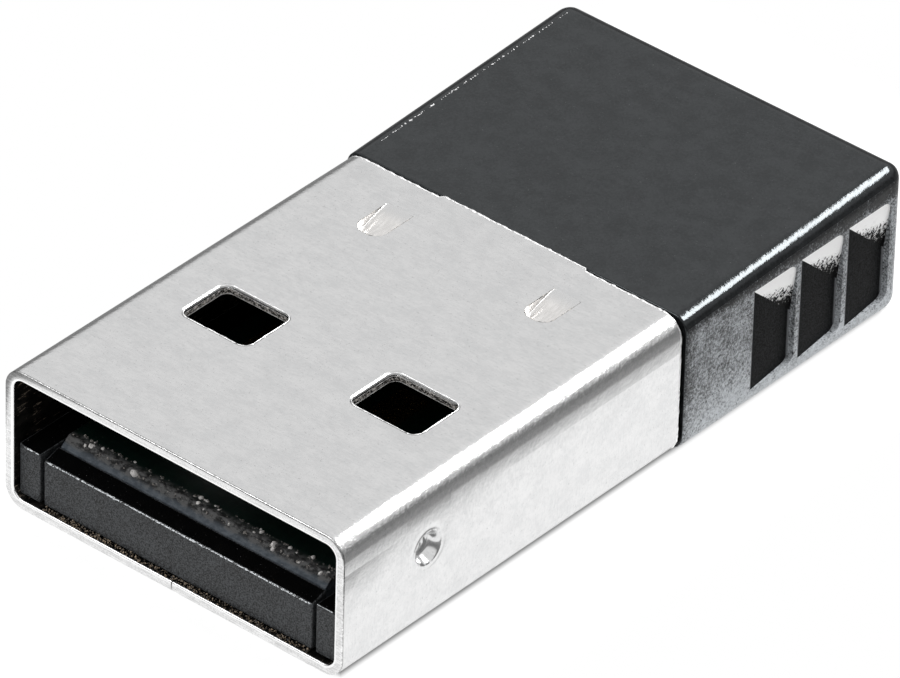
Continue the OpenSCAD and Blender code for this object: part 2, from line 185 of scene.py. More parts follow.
def arc(cx, cz, radius, start, end, steps):
    """Points on a round stretch of an outline, from start to end in degrees."""
    angles = [math.radians(a) for a in spaced(start, end, steps)]
    return [(cx + radius * math.cos(a), cz + radius * math.sin(a)) for a in angles]


def rounded_rect(half_w, low, high, r_low, r_high, steps=8):
    """A closed outline, from the lower right corner round to the left."""
    return (arc(half_w - r_low, low + r_low, r_low, -90, 0, steps)
            + arc(half_w - r_high, high - r_high, r_high, 0, 90, steps)
            + arc(-half_w + r_high, high - r_high, r_high, 90, 180, steps)
            + arc(-half_w + r_low, low + r_low, r_low, 180, 270, steps))


def loft(bm, rings, slots=None):
    """Quads between rings that have the same number of points, each ring closed."""
    rows = [[bm.verts.new(p) for p in ring] for ring in rings]
    count = len(rows[0])
    for j in range(len(rows) - 1):
        for i in range(count):
            k = (i + 1) % count
            face = bm.faces.new((rows[j][i], rows[j][k], rows[j + 1][k], rows[j + 1][i]))
            face.material_index = slots[j] if slots else 0
    return rows


def new_object(name, bm, materials):
    """Turns a bmesh into an object whose faces point outwards."""
    bmesh.ops.recalc_face_normals(bm, faces=bm.faces)
    mesh = bpy.data.meshes.new(name)
    bm.to_mesh(mesh)
    bm.free()
    obj = bpy.data.objects.new(name, mesh)
    bpy.context.scene.collection.objects.link(obj)
    for material in materials:
        mesh.materials.append(material)
    return obj


def closed_solid(rings):
    """A loft between rings, with a face over each end."""
    bm = bmesh.new()
    rows = loft(bm, rings)
    bm.faces.new(rows[0])
    bm.faces.new(rows[-1])
    return bm


def prism(outline, low, high, to_point=place):
    """A closed solid: the outline at two levels, where to_point makes a point of (u, v, level)."""
    return closed_solid([[to_point(u, v, level) for u, v in outline] for level in (low, high)])


def apply_modifiers(obj):
    """Keeps what the modifiers made as the object's own mesh."""
    graph = bpy.context.evaluated_depsgraph_get()
    made = bpy.data.meshes.new_from_object(obj.evaluated_get(graph))
    obj.modifiers.clear()
    old = obj.data
    obj.data = made
    bpy.data.meshes.remove(old)


def carve(obj, cutters, slot):
    """Cuts solids out of an object; the cut faces get the given material slot."""
    tools = []
    for bm in cutters:
        for face in bm.faces:
            face.material_index = slot
        tool = new_object("cutter", bm, [None] * (slot + 1))
        modifier = obj.modifiers.new("cut", "BOOLEAN")
        modifier.operation = "DIFFERENCE"
        modifier.solver = "EXACT"
        modifier.object = tool
        tools.append(tool)
    apply_modifiers(obj)
    for tool in tools:
        bpy.data.objects.remove(tool)


def round_edges(obj, width, angle, wanted=lambda edge: True, segments=3):
    """Bevels edges that turn by more than an angle and pass the test, and closes the bevel's slivers."""
    bm = bmesh.new()
    bm.from_mesh(obj.data)
    edges = [e for e in bm.edges if len(e.link_faces) == 2 and wanted(e)
             and e.calc_face_angle(0) > math.radians(angle)]
    bmesh.ops.bevel(bm, geom=edges, offset=width * MM, segments=segments, profile=0.5,
                    affect="EDGES", clamp_overlap=True)
    bmesh.ops.remove_doubles(bm, verts=bm.verts, dist=SLIVER * MM)
    bm.to_mesh(obj.data)
    bm.free()


def finish_piece(obj, slot_name, *node_names, angle=34):
    """Shades a piece smoothly but keeps flat faces flat, and fixes it to the body."""
    obj.data.shade_smooth()
    obj.data.set_sharp_from_angle(angle=math.radians(angle))
    modifier = obj.modifiers.new("normals", "WEIGHTED_NORMAL")
    modifier.keep_sharp = True
    modifier.weight = 60
    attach(obj, "root")
    if node_names:
        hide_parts(*node_names)


# ---- Material helpers ----

class Nodes:
    """A node tree built up by short calls, most of which return a socket."""

    def __init__(self, tree):
        self.tree = tree

    def add(self, kind, **settings):
        node = self.tree.nodes.new("ShaderNode" + kind)
        for key, value in settings.items():
            setattr(node, key, value)
        return node

    def join(self, value, socket):
        if hasattr(value, "is_output"):
            self.tree.links.new(value, socket)
        else:
            socket.default_value = value

    def calc(self, operation, a, b=0.0, c=0.0):
        made = self.add("Math", operation=operation)
        self.join(a, made.inputs[0])
        self.join(b, made.inputs[1])
        self.join(c, made.inputs[2])
        return made.outputs[0]

    def minus(self, a, b):
        return self.calc("SUBTRACT", a, b)

    def weighted(self, first, *others):
        """A weighted sum of (value, weight) pairs."""
        total = self.calc("MULTIPLY", *first)
        for value, weight in others:
            total = self.calc("MULTIPLY_ADD", value, weight, total)
        return total

    def between(self, value, low, high, to_low=0.0, to_high=1.0):
        """Maps low..high to to_low..to_high, smoothly and with no overshoot."""
        made = self.add("MapRange", interpolation_type="SMOOTHSTEP")
        names = ("Value", "From Min", "From Max", "To Min", "To Max")
        for name, given in zip(names, (value, low, high, to_low, to_high)):
            self.join(given, made.inputs[name])
        return made.outputs["Result"]

    def blend(self, factor, first, second):
        """Mixes two colours."""
        made = self.add("Mix", data_type="RGBA")
        sockets = {s.identifier: s for s in made.inputs}
        self.join(factor, sockets["Factor_Float"])
        for key, colour in (("A_Color", first), ("B_Color", second)):
            self.join(colour if hasattr(colour, "is_output") else (*colour, 1.0), sockets[key])
        return {s.identifier: s for s in made.outputs}["Result_Color"]


class Shader(Nodes):
    """A material of procedural nodes in the object's own coordinates."""

    def __init__(self, name, metallic=0.0, ior=1.5, specular=0.5, coat_roughness=0.1):
        self.material = bpy.data.materials.new(name)
        self.material.use_nodes = True
        super().__init__(self.material.node_tree)
        self.surface = self.tree.nodes["Principled BSDF"]
        for socket, value in (("Metallic", metallic), ("IOR", ior), ("Specular IOR Level", specular),
                              ("Coat Roughness", coat_roughness)):
            self.surface.inputs[socket].default_value = value
        self.place = self.add("TexCoord").outputs["Object"]

    def noise(self, size, detail=4, roughness=0.6):
        """Noise with features of the given size in millimetres, one for all axes or one for each."""
        mapping = self.add("Mapping")
        sizes = size if isinstance(size, tuple) else (size,) * 3
        mapping.inputs["Scale"].default_value = [1 / (s * MM) for s in sizes]
        self.join(self.place, mapping.inputs["Vector"])
        made = self.add("TexNoise")
        for socket, value in (("Scale", 1.0), ("Detail", detail), ("Roughness", roughness)):
            made.inputs[socket].default_value = value
        self.join(mapping.outputs["Vector"], made.inputs["Vector"])
        return made.outputs["Fac"]

    def coordinate(self, axis):
        split = self.add("SeparateXYZ")
        self.join(self.place, split.inputs[0])
        return split.outputs[axis]

    def beyond(self, axis, middle, half):
        """How far a point lies past a band round the middle, along one axis: negative inside the band."""
        return self.minus(self.calc("ABSOLUTE", self.minus(self.coordinate(axis), middle * MM)), half * MM)

    def behind_notch(self):
        """Distance behind the front edge of the nearest notch."""
        from_first = self.minus(self.coordinate("Y"), (MOUTH_Y + NOTCH_Y - NOTCH_PITCH) * MM)
        return self.calc("MODULO", from_first, NOTCH_PITCH * MM)

    def past_flats(self):
        """How far a point lies past the flat middles of the shell's faces, along X and along Z."""
        x = self.beyond("X", 0.0, SHELL_W / 2 - SHELL_R)
        return x, self.beyond("Z", SHELL_H / 2, SHELL_H / 2 - SHELL_R)

    def sheet_depth(self):
        """Depth below the folded sheet's outer face, as a share of its thickness."""
        x, z = self.past_flats()
        squares = [self.calc("POWER", self.calc("MAXIMUM", v, 0.0), 2.0) for v in (x, z)]
        corner = self.calc("SQRT", self.calc("ADD", *squares))
        flat = self.calc("MINIMUM", self.calc("MAXIMUM", x, z), 0.0)
        out = self.minus(self.calc("ADD", corner, flat), SHELL_R * MM)
        return self.calc("DIVIDE", out, -SHEET_T * MM)

    def spotted(self, colour, noise, spread, strength, spot):
        """The colour with spots of another where a noise is high."""
        return self.blend(self.between(noise, *spread, 0.0, strength), colour, spot)

    def bump(self, height, depth, below=None):
        """Relief of the given depth in millimetres."""
        made = self.add("Bump")
        made.inputs["Distance"].default_value = depth * MM
        self.join(height, made.inputs["Height"])
        if below is not None:
            self.join(below, made.inputs["Normal"])
        return made.outputs["Normal"]

    def finish(self, colour, roughness, normal):
        for socket, value in (("Base Color", colour), ("Roughness", roughness), ("Normal", normal)):
            self.join(value, self.surface.inputs[socket])
        return self.material


def grey(value, warm=0.0):
    """A linear grey, slightly warm or slightly cool."""
    return (value * (1 + warm), value, value * (1 - warm))


# ---- Materials ----

def shell_metal():
    """Satin plated steel: faint streaks across the plug, soft waves, dark specks and roughened bends."""
    s = Shader("shell_metal", metallic=1.0)
    clouds = s.noise((0.9, 0.6, 0.5), detail=5, roughness=0.62)
    mottle = s.noise((0.17, 0.13, 0.13))
    streaks = s.noise((0.3, 0.06, 0.2), roughness=0.7)
    specks = s.noise((0.045, 0.04, 0.04), detail=1)
    shade = s.weighted((streaks, 0.35), (clouds, 0.4), (mottle, 0.25))
    colour = s.blend(s.between(shade, *MIDDLE), grey(0.68, -0.004), grey(0.765))
    colour = s.spotted(colour, specks, HIGH, 0.5, grey(0.25))
    bend = s.between(s.calc("MINIMUM", *s.past_flats()), 0.0, 0.25 * MM, 0.06, 1.0)
    roughness = s.calc("MULTIPLY_ADD", bend, 0.04, s.between(shade, 0.35, 0.65, 0.20, 0.15))
    normal = s.bump(clouds, 0.0045, s.bump(s.calc("MULTIPLY", mottle, bend), 0.018, s.bump(streaks, 0.0004)))
    return s.finish(colour, roughness, normal)


def inner_metal():
    """The sheet's inner face, its near-black colour painted shade inside the plug, dull, with tool marks
    running inwards.
    """
    s = Shader("inner_metal", metallic=0.4, specular=0.2)
    patches = s.noise((0.3, 0.5, 0.3), detail=5, roughness=0.65)
    marks = s.noise((0.06, 0.5, 0.09), roughness=0.7)
    specks = s.noise(0.05, detail=3)
    # The near-black base is painted shade inside the plug; the pale warm specks are partly painted glints.
    colour = s.blend(s.between(patches, 0.4, 0.65), grey(0.002), grey(0.014, 0.1))
    colour = s.spotted(colour, marks, (0.59, 0.67), 0.7, grey(0.4, 0.2))
    colour = s.spotted(colour, specks, HIGH, 0.8, grey(0.6, 0.08))
    return s.finish(colour, 0.34, s.bump(specks, 0.004, s.bump(marks, 0.006)))


def sheared_metal():
    """The wall of a punched opening: a burnished band by the outer face, then torn metal with a burr."""
    s = Shader("sheared_metal", metallic=0.45)
    z = s.coordinate("Z")
    depth = s.calc("MINIMUM", z, s.minus(SHELL_H * MM, z))
    depth = s.calc("DIVIDE", depth, SHEET_T * MM)
    ragged = s.calc("MULTIPLY_ADD", s.noise((0.12, 0.12, 0.5)), 0.35, depth)
    torn = s.between(ragged, 0.56, 0.66)
    burr = s.between(ragged, 1.06, 1.12)
    grit = s.noise((0.05, 0.05, 0.06), roughness=0.75)
    streaks = s.noise((0.02, 0.02, 0.4), detail=2)
    torn_colour = s.blend(s.between(grit, 0.48, 0.60), grey(0.004), grey(0.8, 0.05))
    colour = s.blend(torn, s.blend(streaks, grey(0.7), grey(0.86)), torn_colour)
    colour = s.blend(burr, colour, grey(0.75))
    roughness = s.between(torn, 0.0, 1.0, 0.22, 0.5)
    relief = s.calc("MULTIPLY", grit, torn)
    return s.finish(colour, roughness, s.bump(relief, 0.02, s.bump(streaks, 0.0006)))


def rim_metal():
    """The sheet's cut edge at the mouth: a painted shade line along its outer side and a near-white painted
    highlight along its inner side.
    """
    s = Shader("rim_metal", metallic=1.0)
    depth = s.sheet_depth()
    stains = s.noise((0.3, 0.3, 0.14))
    grit = s.noise(0.06, detail=3, roughness=0.7)
    bands = s.noise((0.9, 0.9, 0.05), detail=2)
    shade = s.weighted((stains, 0.3), (bands, 0.3), (grit, 0.4))
    colour = s.blend(s.between(shade, *MIDDLE), grey(0.60), grey(0.90))
    # Painted highlight: a near-white line along the inner side of the edge.
    inside = s.between(s.calc("MULTIPLY_ADD", stains, 0.16, depth), 0.78, 0.86)
    colour = s.blend(inside, colour, grey(0.98))
    # Painted shade: a grey line along the outer side of the edge.
    outside = s.between(s.calc("MULTIPLY_ADD", grit, 0.3, depth), 0.15, 0.24, 1.0, 0.0)
    colour = s.blend(outside, colour, grey(0.38))
    roughness = s.between(stains, 0.4, 0.7, 0.16, 0.3)
    return s.finish(colour, roughness, s.bump(shade, 0.004))


def tab_metal():
    """The pressed-in tabs, scuffed where the tool has dragged."""
    s = Shader("tab_metal", metallic=1.0)
    scuffs = s.noise((0.06, 0.3, 0.3), roughness=0.7)
    specks = s.noise(0.05, detail=3)
    creases = s.noise((0.09, 0.5, 0.2), detail=2)
    off_middle = s.calc("ABSOLUTE", s.beyond("X", 0.0, TAB_X))
    near_side = s.between(off_middle, TAB_W * 0.2 * MM, TAB_W * 0.5 * MM)
    colour = s.blend(s.between(scuffs, 0.4, 0.65), grey(0.74, 0.02), grey(0.84, 0.02))
    colour = s.spotted(colour, specks, HIGH, 1.0, grey(0.2, 0.03))
    root = (MOUTH_Y + TAB_Y + TAB_LEN) * MM
    colour = s.blend(s.between(s.coordinate("Y"), root - 0.6 * MM, root - 0.1 * MM), colour, grey(0.68))
    relief = s.calc("MULTIPLY", creases, near_side)
    roughness = s.between(scuffs, *SPAN, 0.22, 0.38)
    return s.finish(colour, roughness, s.bump(relief, 0.004, s.bump(scuffs, 0.0006)))


def cap_satin():
    """Smooth dark moulded plastic with faint clouds and a little dust."""
    s = Shader("cap_satin", specular=0.46)
    s.surface.inputs["Specular Tint"].default_value = (0.87, 0.94, 0.98, 1.0)
    clouds = s.noise((0.7, 0.6, 0.7), detail=5, roughness=0.6)
    fine = s.noise(0.07, detail=3)
    shade = s.weighted((fine, 0.5), (clouds, 0.5))
    wander = s.noise((0.25, 0.35, 0.25), detail=3)
    dust = s.noise(0.05, detail=2, roughness=0.4)
    colour = s.blend(s.between(shade, *MIDDLE), grey(0.005, -0.06), grey(0.014, -0.06))
    colour = s.spotted(colour, dust, HIGHER, 0.3, grey(0.15))
    roughness = s.between(clouds, *SPAN, 0.10, 0.15)
    return s.finish(colour, roughness, s.bump(fine, 0.0015, s.bump(wander, 0.009)))


def cap_eroded():
    """The cap's sides: the pitted texture of a spark-eroded mould, with painted light towards the bottom and
    painted shade along the top and by the front.
    """
    s = Shader("cap_eroded", specular=0.35)
    grains = s.noise(0.065, roughness=0.8)
    pits = s.noise(0.12, detail=2)
    broad = s.noise(0.6, detail=3)
    up = s.coordinate("Z")
    behind = s.minus(s.coordinate("Y"), (MOUTH_Y + CAP_FRONT) * MM)
    # Painted light and shade: lighter towards the bottom, where the side faces the bright table, and darker
    # along the top of the side and just behind the cap's front.
    painted_shading = s.calc("ADD", s.between(up, 0.2 * MM, 2.2 * MM, 0.09, 0.0),
                  s.between(up, (NOTCH_TOP_Z - 0.2) * MM, (NOTCH_TOP_Z + 0.35) * MM, 0.0, -0.16))
    painted_shading = s.calc("ADD", painted_shading, s.between(behind, 0.0, 0.5 * MM, -0.08, 0.0))
    shade = s.calc("ADD", painted_shading, s.weighted((grains, 0.8), (broad, 0.2)))
    colour = s.blend(s.between(shade, 0.37, 0.66), grey(0.012, -0.06), grey(0.52, -0.05))
    colour = s.spotted(colour, pits, (0.62, 0.70), 0.9, grey(0.008))
    relief = s.calc("MULTIPLY_ADD", pits, -0.6, grains)
    return s.finish(colour, s.between(broad, *SPAN, 0.4, 0.55), s.bump(relief, 0.008))


def notch_plastic():
    """Inside a notch: a dark grained floor, with painted highlight lines at its front edge and by its rear
    wall.
    """
    s = Shader("notch_plastic", ior=1.3, specular=0.05)
    grains = s.noise(0.045, detail=3, roughness=0.75)
    grit = s.noise(0.06, detail=3, roughness=0.7)
    colour = s.blend(s.between(grains, 0.40, 0.62), grey(0.001, -0.05), grey(0.016, -0.05))
    colour = s.spotted(colour, grit, (0.72, 0.8), 0.6, grey(0.2, 0.02))
    back = s.calc("MULTIPLY_ADD", grit, 0.03 * MM, s.behind_notch())
    # Painted highlights: pale lines along the notch's front edge and along the fillet by its rear wall.
    painted_front_highlight = s.between(back, 0.03 * MM, 0.06 * MM, 0.7, 0.0)
    painted_rear_highlight = s.between(back, (NOTCH_LEN - 0.12) * MM, (NOTCH_LEN - 0.02) * MM, 0.0, 0.7)
    colour = s.blend(s.calc("MAXIMUM", painted_front_highlight, painted_rear_highlight), colour, grey(0.28, -0.04))
    return s.finish(colour, 0.42, s.bump(grains, 0.002))


def facet_plastic():
    """The facet at a notch's upper end: a painted highlight, white along its top, broken into specks, then
    black.
    """
    s = Shader("facet_plastic", ior=1.3, specular=0.08)
    drop = s.minus(NOTCH_TOP_Z * MM, s.coordinate("Z"))
    level = s.calc("DIVIDE", s.calc("MULTIPLY_ADD", s.behind_notch(), -FACET_HIGHLIGHT_SLOPE, drop), MM)
    grit = s.noise(0.10, detail=3, roughness=0.7)
    soft = s.noise((0.3, 0.3, 0.16), roughness=0.65)
    level = s.calc("ADD", level, s.calc("MULTIPLY_ADD", soft, 0.4, -0.2))
    # Painted highlight: white along the facet's top, fading down through specks, with painted glints dotting
    # the dark part below it.
    painted_highlight = s.between(level, *FACET_HIGHLIGHT_SPAN, 1.0, 0.0)
    spots = s.between(grit, *MIDDLE)
    speckled_highlight = s.between(s.minus(s.calc("MULTIPLY", painted_highlight, 1.4), spots), 0.0, 0.12)
    painted_glints = s.calc("MULTIPLY", s.between(s.noise(0.08, detail=2), 0.60, 0.66),
                    s.between(level, FACET_HIGHLIGHT_SPAN[1] * 0.8, FACET_HIGHLIGHT_SPAN[1] * 1.3, 0.9, 0.0))
    highlight_brightness = s.between(s.calc("MULTIPLY_ADD", soft, 1.6, painted_highlight), 0.95, 1.7, 0.6, 1.0)
    white = s.blend(highlight_brightness, grey(0.0), grey(1.0))
    colour = s.blend(s.calc("MAXIMUM", speckled_highlight, painted_glints), grey(0.003), white)
    return s.finish(colour, 0.45, s.bump(grit, 0.008))


def tongue_plastic():
    """Dark filled plastic whose moulded skin shows its grains."""
    s = Shader("tongue_plastic", specular=0.22)
    grains = s.noise(0.045, detail=3, roughness=0.8)
    broad = s.noise(0.6, detail=3)
    specks = s.noise(0.04, detail=2)
    shade = s.weighted((grains, 0.85), (broad, 0.15))
    colour = s.blend(s.between(shade, 0.40, 0.62), grey(0.003, -0.06), grey(0.078, -0.06))
    colour = s.spotted(colour, specks, HIGHER, 0.8, grey(0.3, 0.02))
    roughness = s.between(broad, *SPAN, 0.36, 0.5)
    return s.finish(colour, roughness, s.bump(grains, 0.006, s.bump(broad, 0.01)))


def lip_plastic():
    """The tongue's glossy dark slope ahead of the board."""
    s = Shader("lip_plastic", specular=0.4)
    broad = s.noise((0.5, 0.3, 0.3), detail=3)
    specks = s.noise(0.05, detail=2)
    colour = s.spotted(grey(0.002, -0.05), specks, (0.70, 0.78), 0.8, grey(0.12))
    return s.finish(colour, s.between(broad, *SPAN, 0.10, 0.2), s.bump(broad, 0.006))


def crumbled(name, dark, pale, size=0.05, spread=(0.44, 0.6)):
    """Torn flash, dust or swarf: pale crumbs over something darker."""
    s = Shader(name, specular=0.6)
    grains = s.noise(size, detail=3, roughness=0.7)
    tint = s.noise(size * 5, detail=2)
    tinted = s.blend(s.between(tint, 0.45, 0.7), pale, tuple(c * 0.6 for c in pale))
    colour = s.blend(s.between(grains, *spread), dark, tinted)
    return s.finish(colour, 0.5, s.bump(grains, size * 0.2))


def board_mask():
    """Dark green solder mask over glass cloth; its cut front edge is a dull blue grey."""
    s = Shader("board_mask", specular=0.4, coat_roughness=0.2)
    across = s.noise((0.12, 1.2, 1.2), detail=1)
    along = s.noise((1.2, 0.12, 1.2), detail=1)
    weave = s.calc("ADD", across, along)
    dust = s.noise(0.05, detail=2)
    mottle = s.noise((0.22, 0.14, 0.14), roughness=0.65)
    colour = s.blend(s.between(weave, 0.8, 1.2), (0.001, 0.006, 0.0045), (0.002, 0.010, 0.007))
    top = BOARD_HIGH.z - BEVEL_Z * 0.4
    ragged = s.calc("MULTIPLY_ADD", mottle, 0.16 * MM, s.coordinate("Z"))
    low = s.between(ragged, (top - 0.02) * MM, (top + 0.08) * MM, 1.0, 0.0)
    behind = s.minus(s.coordinate("Y"), BOARD_LOW.y * MM)
    front = s.between(behind, BEVEL_Y * MM, 2 * BEVEL_Y * MM, 1.0, 0.0)
    cut = s.blend(s.between(mottle, 0.35, 0.65), (0.050, 0.061, 0.074), (0.105, 0.122, 0.140))
    stained = s.blend(s.between(mottle, 0.4, 0.6), grey(0.006), grey(0.10))
    colour = s.blend(front, colour, s.blend(low, stained, cut))
    colour = s.spotted(colour, dust, (0.70, 0.78), 0.8, grey(0.3, 0.04))
    roughness = s.between(front, 0.0, 1.0, 0.35, 0.75)
    s.join(s.between(front, 0.0, 1.0, 0.3, 0.0), s.surface.inputs["Coat Weight"])
    return s.finish(colour, roughness, s.bump(s.calc("MULTIPLY", mottle, front), 0.02, s.bump(weave, 0.004)))


def plated(name, low, high, size=0.06, rough=(0.18, 0.32)):
    """Plated or tinned metal with a slightly uneven surface."""
    s = Shader(name, metallic=1.0)
    patches = s.noise(size * 4)
    fine = s.noise(size, detail=3)
    colour = s.blend(s.between(patches, 0.35, 0.65), low, high)
    return s.finish(colour, s.between(fine, *SPAN, *rough), s.bump(fine, 0.002))


def fired(name, low, high, size=0.05, rough=(0.45, 0.65), depth=0.006):
    """Ceramic, ferrite or moulding compound: fine grains in two close shades."""
    s = Shader(name, specular=0.4)
    grains = s.noise(size, roughness=0.7)
    patches = s.noise(size * 8, detail=3)
    shade = s.weighted((grains, 0.5), (patches, 0.5))
    colour = s.blend(s.between(shade, *MIDDLE), low, high)
    return s.finish(colour, s.between(patches, *SPAN, *rough), s.bump(grains, depth))


def floor_paper():
    """A lit pale sheet under the part, which fades into the pale backdrop all round and leaves a painted
    contact shadow under the part.
    """
    s = Shader("floor_paper", specular=0.2)
    fibres = s.noise(0.4)
    colour = s.blend(s.between(fibres, *SPAN), grey(0.19), grey(0.21))
    middle_y = MOUTH_Y + CAP_REAR / 2
    side = s.beyond("X", 0.0, SHELL_W / 2)
    end = s.beyond("Y", middle_y, CAP_REAR / 2)
    side_fade = s.between(side, *(v * MM for v in FLOOR_SIDE_FADE), 1.0, 0.0)
    end_fade = s.between(end, *(v * MM for v in FLOOR_END_FADE), 1.0, 0.0)
    s.join(s.calc("MULTIPLY", side_fade, end_fade), s.surface.inputs["Alpha"])
    s.surface.inputs["Emission Color"].default_value = (1, 1, 1, 1)
    # The glow stops just inside the part's footprint, which leaves the floor under the part dark: a painted
    # contact shadow.
    outside = s.calc("MAXIMUM", side, end)
    s.join(s.between(outside, -0.45 * MM, -0.1 * MM, 0.0, FLOOR_GLOW), s.surface.inputs["Emission Strength"])
    return s.finish(colour, 0.9, s.bump(fibres, 0.004))


# ---- Plug shell ----

def dimple_relief(y, z):
    """How far the sheet is pressed in at a point of the plug's side."""
    dy, dz = y - DIMPLE_Y, z - DIMPLE_Z
    reach = math.hypot(dy, dz) / DIMPLE_R
    if reach >= DIMPLE_REACH:
        return 0.0
    ring = -DIMPLE_RING_H * math.exp(-((reach - DIMPLE_RING_AT) / DIMPLE_RING_W) ** 2)
    if reach >= 1.0:
        return ring
    down = min(1.0, (1 - reach) / DIMPLE_WALL)
    upper = min(1.0, max(0.0, DIMPLE_MARK_START + dz / (DIMPLE_R * DIMPLE_MARK_RISE)))
    mark = DIMPLE_MARK_DEPTH * math.sin(math.tau * (dy + DIMPLE_MARK_SLANT * dz) / DIMPLE_MARK_PITCH)
    return DIMPLE_DEPTH * down ** 2 * (3 - 2 * down) + ring + mark * upper * down


def sheet_outline(inset, side_rows):
    """The folded sheet's section at a depth below its outer face, from one edge of the seam to the other."""
    half_w, r = SHELL_W / 2 - inset, SHELL_R - inset
    low, high = inset, SHELL_H - inset
    right = [(SEAM_GAP / 2, low)]
    right += arc(half_w - r, low + r, r, -90, 0, 10)
    right += [(half_w, z) for z in side_rows]
    right += arc(half_w - r, high - r, r, 0, 90, 12)
    right += [(REAR_STEP_HALF_W + REAR_STEP_RUN, high), (REAR_STEP_HALF_W, high)]
    left = [(-x, z) for x, z in reversed(right)]
    return right + left


def window_outline(side, inset):
    """A contact window from above, drawn in from its rim."""
    half_len, r = WINDOW_LEN / 2 - inset, WINDOW_R - inset
    return [(side * WINDOW_X + x, WINDOW_Y + WINDOW_LEN / 2 + y)
            for x, y in rounded_rect(WINDOW_W / 2 - inset, -half_len, half_len, r, r)]


def plug_shell(materials):
    """The folded sheet as one closed skin, with its openings punched and the openings for its tabs cut out.
    """
    side_len = SHELL_REAR_MIDDLE - REAR_STEP
    steps = round(2 * DIMPLE_FIELD / DIMPLE_STEP)
    side_rows, stretch = (spaced(middle - DIMPLE_FIELD, middle + DIMPLE_FIELD, steps)
                          for middle in (DIMPLE_Z, DIMPLE_Y))
    turns = quarter_turn(4)
    stations = [(RIM_ROUND * (1 - math.cos(a)), RIM_ROUND * (1 - math.sin(a))) for a in turns]
    stations += [(y, 0.0) for y in stretch]
    stations += [(side_len - y, inset) for y, inset in reversed(stations[:len(turns)])]
    rings = []
    for y, edge in stations:
        ring = []
        for inset, step in ((edge, 1), (SHEET_T - edge, -1)):
            for x, z in sheet_outline(inset, side_rows)[::step]:
                on_side = abs(x) > SHELL_W / 2 - inset - NEAR
                press = dimple_relief(y, z) if on_side else 0.0
                on_step = y > side_len / 2 and z > SHELL_H / 2 and abs(x) <= REAR_STEP_HALF_W
                rear = REAR_STEP * (y > side_len - 2 * RIM_ROUND) if on_step else 0.0
                ring.append(place(x - math.copysign(press, x), y + rear, z))
        rings.append(ring)
    bm = bmesh.new()
    rounded = len(turns) - 1
    slots = [RIM if j < rounded else SKIN for j in range(len(rings) - 1)]
    rows = loft(bm, rings, slots)
    half = len(rows[0]) // 2
    inner = {v for row in rows[rounded:] for v in row[half:]}
    for face in bm.faces:
        if all(v in inner for v in face.verts):
            face.material_index = INSIDE
    for row, slot in ((rows[0], RIM), (rows[-1], SKIN)):
        for i in range(half - 1):
            face = bm.faces.new((row[i], row[i + 1], row[-2 - i], row[-1 - i]))
            face.material_index = slot
    shell = new_object("shell_skin", bm, materials)

    top, bottom = (SHELL_H - 2 * SHEET_T, SHELL_H + SHEET_T), (-SHEET_T, 2 * SHEET_T)
    cutters = []
    for side in (-1, 1):
        window = window_outline(side, WINDOW_ROLL)
        cutters += [prism(window, *top), prism(window, *bottom), prism(tab_outline(side), *top)]
    carve(shell, cutters, SHEARED)

    def at_window(edge):
        """An edge of the sheet's outer face, at one of the four contact windows."""
        a, b = (v.co / MM for v in edge.verts)
        outer = all(abs(p.z - SHELL_H) < NEAR or abs(p.z) < NEAR for p in (a, b))
        return outer and abs(abs(a.x) - WINDOW_X) < WINDOW_W / 2 and a.y - MOUTH_Y < WINDOW_Y + WINDOW_LEN

    round_edges(shell, WINDOW_ROLL, 60, at_window, segments=5)
    finish_piece(shell, "plug_shell_metal", "plug_shell")


def tab_outline(side, inset=0.0, with_root=True):
    """A tab from above, drawn in: down one side, round its free front end, back to its root."""
    share = 1 - inset / (TAB_W / 2)
    half_w, half_len, r = TAB_W / 2 * share, TAB_LEN / 2 * share, TAB_R * share
    left = [(-half_w, y) for y in spaced(half_len, r - half_len, 8)]
    left += arc(r - half_w, r - half_len, r, 180, 270, 8)[1:]
    points = left + [(-x, y) for x, y in reversed(left)]
    if with_root:
        points += [(x, half_len) for x in spaced(half_w, -half_w, 8)[1:-1]]
    return [(side * TAB_X + x, TAB_Y + TAB_LEN / 2 + y) for x, y in points]


def pressed_tab(side, material):
    """A tab that slopes down from its root to its free end, with a steep wall round it."""

    def ring(inset):
        made = []
        for x, y in tab_outline(side, inset):
            run = max(0.0, (TAB_Y + TAB_LEN - y) / TAB_LEN)
            slope = TAB_DROP * (TAB_STRAIGHT * run + (1 - TAB_STRAIGHT) * run ** TAB_CURVE)
            off_crease = (x - side * TAB_X) / TAB_W - TAB_CREASE_X
            crush = TAB_CREASE_DEPTH * run * math.exp(-(off_crease / TAB_CREASE_W) ** 2)
            width = TAB_WALL * (TAB_ROOT_WALL + (1 - TAB_ROOT_WALL) * run)
            down = math.sin(min(1.0, inset / width) * math.pi / 2)
            made.append(place(x, y, SHELL_H - (slope + crush) * down))
        return made

    insets = spaced(TAB_W / 2 - 0.02, TAB_WALL * 1.2, 6) + spaced(TAB_WALL, 0.0, 10)
    skirt = [point - Vector((0, 0, SHEET_T * MM)) for point in ring(0.0)]
    bm = closed_solid([ring(inset) for inset in insets] + [skirt])
    tab = new_object(f"shell_tab_{'left' if side < 0 else 'right'}", bm, [material])
    finish_piece(tab, "plug_shell_metal", angle=70)


# ---- Cap ----

def cap_ring(y, side_in, top_in, bottom_in):
    """The cap's section at y, drawn in from its sides, its top and its bottom."""
    top = CAP_FRONT_H + CAP_SLOPE * (y - CAP_FRONT) - top_in
    draw_in = max(side_in, top_in, bottom_in)
    r_low, r_high = (max(r - draw_in, CAP_LEAST_R) for r in (CAP_BOTTOM_R, CAP_TOP_R))
    outline = rounded_rect(CAP_W / 2 - side_in, bottom_in, top, r_low, r_high, 10)
    return [place(x, y, z) for x, z in outline]


